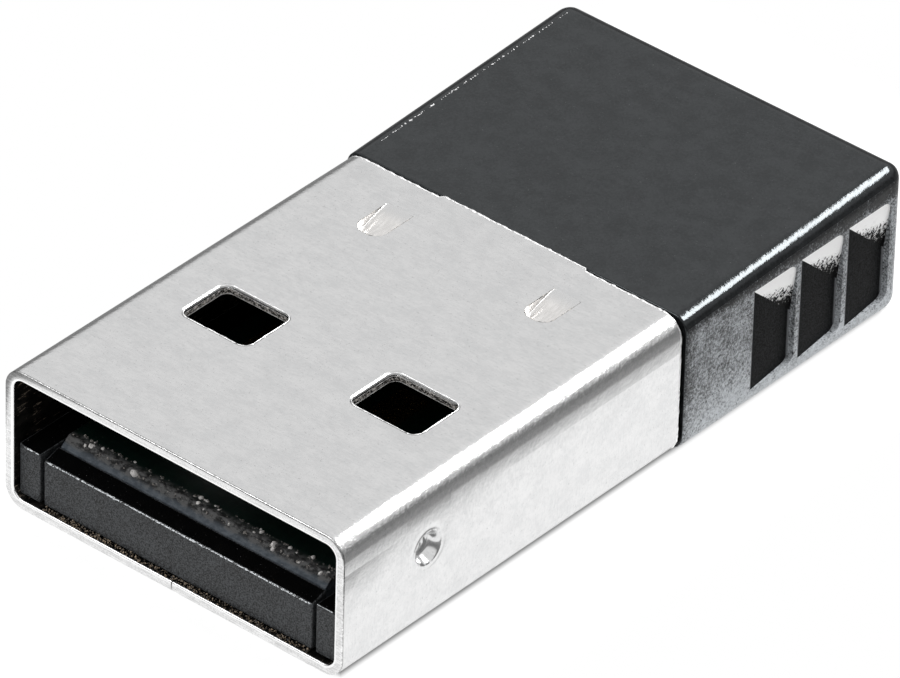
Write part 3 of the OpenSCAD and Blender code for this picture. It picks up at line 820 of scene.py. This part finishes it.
def notch_outline():
    """A notch from the side, given as distance behind its front edge and height, and cut past both edges."""
    out = 0.1
    return ([(-out, NOTCH_TOP_Z + out), (-out, NOTCH_Z)]
            + arc(NOTCH_LEN - NOTCH_R, NOTCH_Z + NOTCH_R, NOTCH_R, -90, 0, 8)
            + [(NOTCH_LEN, NOTCH_TOP_Z - FACET_H)]
            + arc(NOTCH_LEN - NOTCH_R, NOTCH_TOP_Z - NOTCH_R, NOTCH_R, 0, 90, 8)
            + [(NOTCH_LEN - NOTCH_R, NOTCH_TOP_Z + out)])


def notch_depth(back, z):
    """Depth of a notch at a distance behind its front edge: its floor, or the facet at its upper end."""
    return min(NOTCH_DEPTH * back / NOTCH_LEN, NOTCH_DEPTH * (NOTCH_TOP_Z - z) / FACET_H)


def notch_cutter(side, front_y):
    """The solid that cuts one grip notch, its floor in one plane and its facet in another."""
    out = 0.4
    points = notch_outline()
    rings = [[place(side * (CAP_W / 2 + (out if outside else -notch_depth(back, z))), front_y + back, z)
              for back, z in points] for outside in (False, True)]
    bm = bmesh.new()
    rows = loft(bm, rings)
    crease = points.index((NOTCH_LEN, NOTCH_TOP_Z - FACET_H))
    bm.faces.new([rows[0][0]] + rows[0][crease:])
    bm.faces.new(rows[0][:crease + 1])
    bm.faces.new(rows[1])
    return bm


def rear_cap(materials):
    """The cap's body, with its grip notches and its cavity."""
    rings = []
    for a in quarter_turn(3):
        edge = CAP_FRONT_ROUND * (1 - math.sin(a))
        rings.append(cap_ring(CAP_FRONT + CAP_FRONT_ROUND * (1 - math.cos(a)), edge, edge, edge))
    for a in quarter_turn(10):
        inward = 1 - math.cos(a)
        rings.append(cap_ring(CAP_REAR - CAP_PLAN_R + CAP_PLAN_R * math.sin(a), CAP_PLAN_R * inward,
                              CAP_TOP_R * inward, CAP_BOTTOM_R * inward))
    cap = new_object("cap_body", closed_solid(rings), materials)

    def across_y(u, v, y):
        return place(u, y, v)

    notches = [notch_cutter(side, NOTCH_Y + i * NOTCH_PITCH) for side in (-1, 1) for i in range(NOTCH_COUNT)]
    room = rounded_rect(CAP_W / 2 - CAP_WALL, CAVITY_Z, CAVITY_TOP_Z, CAVITY_R, CAVITY_R)
    cavity = prism(room, CAP_FRONT + CAP_WALL / 2, CAP_REAR - CAP_WALL, across_y)
    door = rounded_rect(SLEEVE_IN_W / 2, SLEEVE_IN_Z, SLEEVE_IN_TOP_Z, CAVITY_R, CAVITY_R)
    opening = prism(door, CAP_FRONT - CUT_PAST, CAP_FRONT + CAP_WALL, across_y)
    carve(cap, notches, NOTCH)
    carve(cap, [cavity, opening], SATIN)
    for face in cap.data.polygons:
        n, at = face.normal, face.center / MM
        outer = abs(at.x) > CAP_W / 2 - CAP_WALL * 0.8 or at.z < CAVITY_Z * 0.8
        upright_or_under, faces_back = n.z < 0.25, abs(n.y) >= 0.8
        if face.material_index == SATIN and outer and upright_or_under and not faces_back:
            face.material_index = ERODED
        notch_wall, notch_slope = abs(n.x) < 0.9, abs(n.z) > 0.05
        if face.material_index == NOTCH and notch_wall:
            face.material_index = ERODED
        if face.material_index == NOTCH and notch_slope:
            face.material_index = FACET

    def at_notch(edge):
        return any(f.material_index != SATIN for f in edge.link_faces)

    round_edges(cap, NOTCH_ROUND, 40, at_notch)
    finish_piece(cap, "cap_plastic", "rear_cap")


def cap_sleeve(material):
    """The sleeve ahead of the cap's body: a tube that goes into the shell."""
    gap = SHEET_T + SLEEVE_GAP
    outer_half, corner = SHELL_W / 2 - SHEET_T - SLEEVE_GAP, SHELL_R - SHEET_T - SLEEVE_GAP
    wall = outer_half - SLEEVE_IN_W / 2
    rear = SLEEVE_LEN + CAP_WALL / 2
    section = ((SLEEVE_ROUND, 0.0), (0.0, SLEEVE_ROUND), (0.0, wall - SLEEVE_ROUND), (SLEEVE_ROUND, wall),
               (rear, wall), (rear, 0.0))
    rings = []
    for y, depth in section:
        share = depth / wall
        low = gap + (SLEEVE_IN_Z - gap) * share
        high = SHELL_H - gap - (SHELL_H - gap - SLEEVE_IN_TOP_Z) * share
        outline = rounded_rect(outer_half - depth, low, high, corner, corner, 5)
        rings.append([place(x, CAP_FRONT - SLEEVE_LEN + y, z) for x, z in outline])
    bm = bmesh.new()
    loft(bm, rings + [rings[0]])
    bmesh.ops.remove_doubles(bm, verts=bm.verts, dist=SLIVER * MM)
    finish_piece(new_object("cap_sleeve", bm, [material]), "cap_plastic")


# ---- Pieces in the CAD's own shape, and loose matter ----

def softened(node_name, width, slot_name, materials, second=None):
    """A CAD node's mesh with rounded edges; the faces that pass the test get the second material."""
    bm = bmesh.new()
    bm.from_mesh(frame["nodes"][node_name].data)
    bmesh.ops.remove_doubles(bm, verts=bm.verts, dist=SLIVER * MM)
    bmesh.ops.dissolve_limit(bm, angle_limit=math.radians(1), verts=bm.verts, edges=bm.edges)
    piece = new_object(node_name + "_piece", bm, materials)
    for face in piece.data.polygons:
        face.material_index = 1 if second and second(face) else 0
    round_edges(piece, width, 30, segments=2)
    finish_piece(piece, slot_name, node_name)


def crumbs(name, material, slot_name, count, corner, across, up, sizes, seed):
    """Small uneven grains scattered over a parallelogram, given by a corner and its two sides."""
    random.seed(seed)
    bm = bmesh.new()
    corner, across, up = Vector(corner), Vector(across), Vector(up)
    for _ in range(count):
        at = corner + across * random.random() + up * random.random()
        size = sizes[0] + (sizes[1] - sizes[0]) * random.random() ** 2
        turn = (Matrix.Rotation(random.uniform(0, math.tau), 4, "X")
                @ Matrix.Rotation(random.uniform(0, math.pi), 4, "Z"))
        made = bmesh.ops.create_icosphere(bm, subdivisions=2, radius=1.0)["verts"]
        stretch = Vector([random.uniform(*CRUMB_STRETCH) for _ in range(3)])
        shift = Vector((random.uniform(0, 90), 0, 0))
        for v in made:
            bumpy = 1 + CRUMB_BUMP * noise.noise(v.co * CRUMB_BUMPS + shift)
            grain = turn @ Vector([c * s for c, s in zip(v.co, stretch)]) * bumpy * size
            v.co = place(*(at + grain))
    finish_piece(new_object(name, bm, [material]), slot_name, angle=60)


def ragged_bead(name, material, slot_name, path, radius, seed, facing=(0, 0, 1)):
    """A thin uneven bead of flash or burr along a path of points in a plane that faces one way."""
    facing = Vector(facing)
    turns = [math.tau * k / BEAD_SIDES for k in range(BEAD_SIDES)]
    points = [Vector(point) for point in path]
    rings = []
    for start, end in zip(points, points[1:]):
        side = (end - start).cross(facing).normalized()
        steps = max(1, round((end - start).length / BEAD_STEP))
        for i in range(steps):
            at = start.lerp(end, i / steps)
            swell = max(0.0, noise.noise(at * BEAD_SWELLS + Vector((0, 0, seed))) + BEAD_SWELL_BIAS)
            here = radius * (BEAD_LEAST + BEAD_SWELL * swell)
            raised = at + facing * BEAD_RISE * radius * noise.noise(at * BEAD_RISES + Vector((0, seed, 0)))
            rings.append([place(*(raised + here * (side * math.cos(a) + facing * math.sin(a))))
                          for a in turns])
    finish_piece(new_object(name, closed_solid(rings), [material]), slot_name, angle=60)


def edge_burrs():
    """Bright burrs round each window and along the shell's rear edge, and a torn line round each tab whose
    dark grains are partly painted shade in the cut.
    """
    slot = "plug_shell_metal"
    burr = plated("burr_metal", grey(0.92), grey(1.0), size=0.03, rough=(0.3, 0.5))
    # The torn line's dark grains are partly painted shade in the cut round each tab.
    torn = crumbled("torn_line_and_cut_shade", grey(0.03), grey(0.5, 0.1), size=0.07)
    for side in (-1, 1):
        rim = window_outline(side, WINDOW_ROLL * BURR_IN)
        for name, z in (("top", SHELL_H - WINDOW_ROLL * BURR_DOWN), ("bottom", WINDOW_ROLL * BURR_DOWN)):
            path = [(x, y, z) for x, y in rim + rim[:1]]
            ragged_bead(f"window_burr_{name}_{side}", burr, slot, path, BURR_R, side)
        path = [(x, y, SHELL_H - TAB_LINE_R / 2) for x, y in tab_outline(side, with_root=False)]
        ragged_bead(f"tab_line_{side}", torn, slot, path, TAB_LINE_R, 2 * side)

    inset = RIM_ROUND / 5
    low, high, r = SHELL_R, SHELL_H - SHELL_R, SHELL_R - inset
    middle_y, side_y = SHELL_REAR_MIDDLE - inset, SHELL_REAR_MIDDLE - REAR_STEP - inset
    flat_half_w = SHELL_W / 2 - SHELL_R
    right = [(REAR_STEP_HALF_W, middle_y), (REAR_STEP_HALF_W + REAR_STEP_RUN, side_y), (flat_half_w, side_y)]
    left = [(-x, y) for x, y in reversed(right)]
    path = [(x, y, SHELL_H - inset) for x, y in left + right]
    ragged_bead("rear_burr_top", burr, slot, path, REAR_BURR_R, 8)
    bends = arc(flat_half_w, high, r, 90, 0, 8) + arc(flat_half_w, low, r, 0, -90, 8)
    for side in (-1, 1):
        path = [(side * x, side_y, z) for x, z in bends]
        ragged_bead(f"rear_burr_side_{side}", burr, slot, path, REAR_BURR_R, side, (0, 1, 0))


# ---- Scene ----

def add_camera():
    a, e, r = (math.radians(v) for v in CAMERA_TURN)
    back = Vector((math.sin(a) * math.cos(e), -math.cos(a) * math.cos(e), math.sin(e)))
    level = Vector((math.cos(a), math.sin(a), 0))
    upright = back.cross(level)
    right = math.cos(r) * level + math.sin(r) * upright
    up = math.cos(r) * upright - math.sin(r) * level
    spot = Vector(CAMERA_TARGET) + back * CAMERA_DISTANCE + CAMERA_SLIDE[0] * right + CAMERA_SLIDE[1] * up
    data = bpy.data.cameras.new("camera")
    data.lens, data.sensor_width = CAMERA_LENS, SENSOR
    data.clip_start, data.clip_end = CAMERA_CLIP
    camera = bpy.data.objects.new("camera", data)
    turn = Matrix((right, up, back)).transposed().to_4x4()
    camera.matrix_world = Matrix.Translation(spot * MM) @ turn
    bpy.context.scene.collection.objects.link(camera)
    bpy.context.scene.camera = camera


def add_world():
    """A pale dome with a dark band at the horizon, as round a light table. The camera sees plain white."""
    world = bpy.data.worlds.new("studio")
    world.use_nodes = True
    sky = Nodes(world.node_tree)
    split = sky.add("SeparateXYZ")
    sky.join(sky.add("TexCoord").outputs["Generated"], split.inputs[0])
    ramp = sky.add("ValToRGB")
    for i, (up, value) in enumerate(DOME):
        element = ramp.color_ramp.elements[i] if i < 2 else ramp.color_ramp.elements.new(up)
        element.position = up
        element.color = (value, value, value, 1)
    sky.join(sky.calc("MULTIPLY_ADD", split.outputs["Z"], 0.5, 0.5), ramp.inputs["Fac"])
    seen = sky.add("LightPath").outputs["Is Camera Ray"]
    shown = sky.blend(seen, ramp.outputs["Color"], grey(1.0))
    sky.join(shown, sky.tree.nodes["Background"].inputs["Color"])
    bpy.context.scene.world = world


def add_softbox(name, direction, size, power):
    """A rectangular light that faces the part."""
    direction = Vector(direction).normalized()
    data = bpy.data.lights.new(name, "AREA")
    data.shape = "RECTANGLE"
    data.size, data.size_y = size[0] * MM, size[1] * MM
    data.energy = power
    light = bpy.data.objects.new(name, data)
    light.location = direction * LIGHT_DISTANCE * MM
    light.rotation_mode = "QUATERNION"
    light.rotation_quaternion = direction.to_track_quat("Z", "Y")
    bpy.context.scene.collection.objects.link(light)


def add_floor():
    bm = bmesh.new()
    bmesh.ops.create_circle(bm, cap_ends=True, segments=96, radius=FLOOR_R * MM)
    floor = new_object("floor", bm, [floor_paper()])
    floor.location.z = FLOOR_Z * MM


def dress_electronics():
    """The board and all that is on it, softened, each with its material and a width of rounding."""
    mask, gold = board_mask(), plated("gold", (0.78, 0.52, 0.18), (0.88, 0.64, 0.27))
    tin = plated("tin", grey(0.55), grey(0.78))
    epoxy = fired("chip_epoxy", grey(0.010), grey(0.020), rough=(0.4, 0.55))
    lid = plated("crystal_lid_metal", grey(0.5), grey(0.62), size=0.03, rough=(0.28, 0.4))
    base = fired("ceramic_grey", grey(0.2, 0.1), grey(0.3, 0.1))
    ferrite = fired("ferrite", grey(0.04), grey(0.08), depth=0.01)
    tan = fired("capacitor_ceramic", (0.32, 0.20, 0.11), (0.44, 0.29, 0.17))
    black = fired("resistor_ceramic", grey(0.012), grey(0.02), rough=(0.2, 0.35))
    white = fired("antenna_ceramic", (0.62, 0.58, 0.48), (0.74, 0.70, 0.60))
    chosen = {f"contact_{line}": (gold, 0.015) for line in ("vbus", "data_minus", "data_plus", "ground")}
    chosen |= {
        "wlan_chip": (epoxy, 0.05), "wlan_chip_pads": (tin, 0.004),
        "crystal_base": (base, 0.03), "crystal_lid": (lid, 0.03),
        "voltage_regulator": (epoxy, 0.05), "regulator_leads": (tin, 0.02),
        "power_inductor": (ferrite, 0.05), "ferrite_bead": (ferrite, 0.03),
        "bulk_capacitor": (tan, 0.04), "decoupling_capacitors": (tan, 0.02),
        "resistors": (black, 0.015), "esd_protection": (epoxy, 0.02),
        "antenna_matching_parts": (white, 0.012), "chip_antenna": (white, 0.04),
        "solder_joints": (tin, 0.008), "circuit_board": (mask, 0.02),
    }
    slots = {entry["node"]: entry["material_slot"] for entry in frame["record"]["subparts"]}
    for node_name, (material, width) in chosen.items():
        softened(node_name, width, slots[node_name], [material])


def dress_tongue():
    """The tongue and its rails, with the torn flash, dust and swarf along their edges."""
    plastic, glossy = tongue_plastic(), lip_plastic()
    flash = crumbled("flash", grey(0.02), grey(1.0, -0.04), spread=(0.46, 0.5))
    grains = crumbled("board_grains", grey(0.03), grey(0.30, 0.08))
    blobs = crumbled("board_blobs", grey(0.12), grey(0.75, 0.03), spread=(0.3, 0.5))
    swarf = crumbled("swarf", grey(0.01), (0.34, 0.26, 0.18))
    for node_name, width in (("tongue_block", 0.05), ("rail_frame", 0.04)):
        softened(node_name, width, "tongue_plastic", [plastic, glossy], lambda face: face.normal.z > 0.5)

    half_w = BLOCK_HIGH.x - 0.06
    rail_x = RAIL_IN_X + 0.03
    for name, ends, edge, radius, seed in (
            ("tongue_flash", (-half_w, half_w), LIP_FLASH, LIP_FLASH_R, 1),
            ("rail_flash_left", (-RAIL_OUT_X, -rail_x), RAIL_FLASH, LEFT_FLASH_R, 3),
            ("rail_flash_right", (rail_x, RAIL_OUT_X), RAIL_FLASH, RIGHT_FLASH_R, 6)):
        ragged_bead(name, flash, "tongue_plastic", [(x, *edge) for x in ends], radius, seed)

    def strewn(name, material, count, low, high, sizes, seed):
        """Grains over a strip across the tongue, between two lines given as (y, z)."""
        crumbs(name, material, "tongue_plastic", count, (-half_w, *low), (2 * half_w, 0, 0),
               (0, high[0] - low[0], high[1] - low[1]), sizes, seed)

    board_y, board_z = BOARD_LOW.y - MOUTH_Y, BOARD_HIGH.z
    strip = (board_y + BEVEL_Y * 0.7, board_z - BEVEL_Z * 0.3), (board_y + BEVEL_Y * 1.9, board_z)
    strewn("board_edge_grains", grains, 420, *strip, (0.015, 0.055), 4)
    strewn("board_edge_blobs", blobs, 30, *strip, (0.04, 0.11), 9)
    strewn("edge_crumbs", flash, 320, LIP_FLASH, (LIP_Y + 0.03, LIP_FRONT_Z + 0.01), (0.006, 0.02), 15)
    strewn("gap_swarf", swarf, 520, (RIM_ROUND, SHEET_T), (LIP_Y, BLOCK_LOW.z + 0.01), (0.012, 0.036), 12)


def cap_edge_glints():
    """A line of pale grains where the cap's top meets its rounded left edge, painting a speckled highlight
    along it.
    """
    # The pale grains paint a speckled highlight along the edge of the top's flat.
    dust = crumbled("cap_glint_grains", grey(0.2), grey(0.9), spread=(0.3, 0.5))
    x, start, end = CAP_TOP_R - CAP_W / 2, CAP_FRONT + 0.8, CAP_REAR - CAP_PLAN_R * 1.2
    corner = (x, start, CAP_FRONT_H + CAP_SLOPE * (start - CAP_FRONT))
    crumbs("cap_glint_line", dust, "cap_plastic", 150, corner, (0, end - start, CAP_SLOPE * (end - start)),
           (0.04, 0, 0), (0.005, 0.028), 21)


add_camera()
add_world()
for name, (direction, size, power) in SOFTBOXES.items():
    add_softbox(name, direction, size, power)
add_floor()

plug_shell([shell_metal(), sheared_metal(), rim_metal(), inner_metal()])
scuffed = tab_metal()
for side in (-1, 1):
    pressed_tab(side, scuffed)
satin = cap_satin()
rear_cap([satin, notch_plastic(), facet_plastic(), cap_eroded()])
cap_sleeve(satin)
edge_burrs()
dress_tongue()
cap_edge_glints()
dress_electronics()

bpy.context.scene.view_settings.view_transform = "Standard"
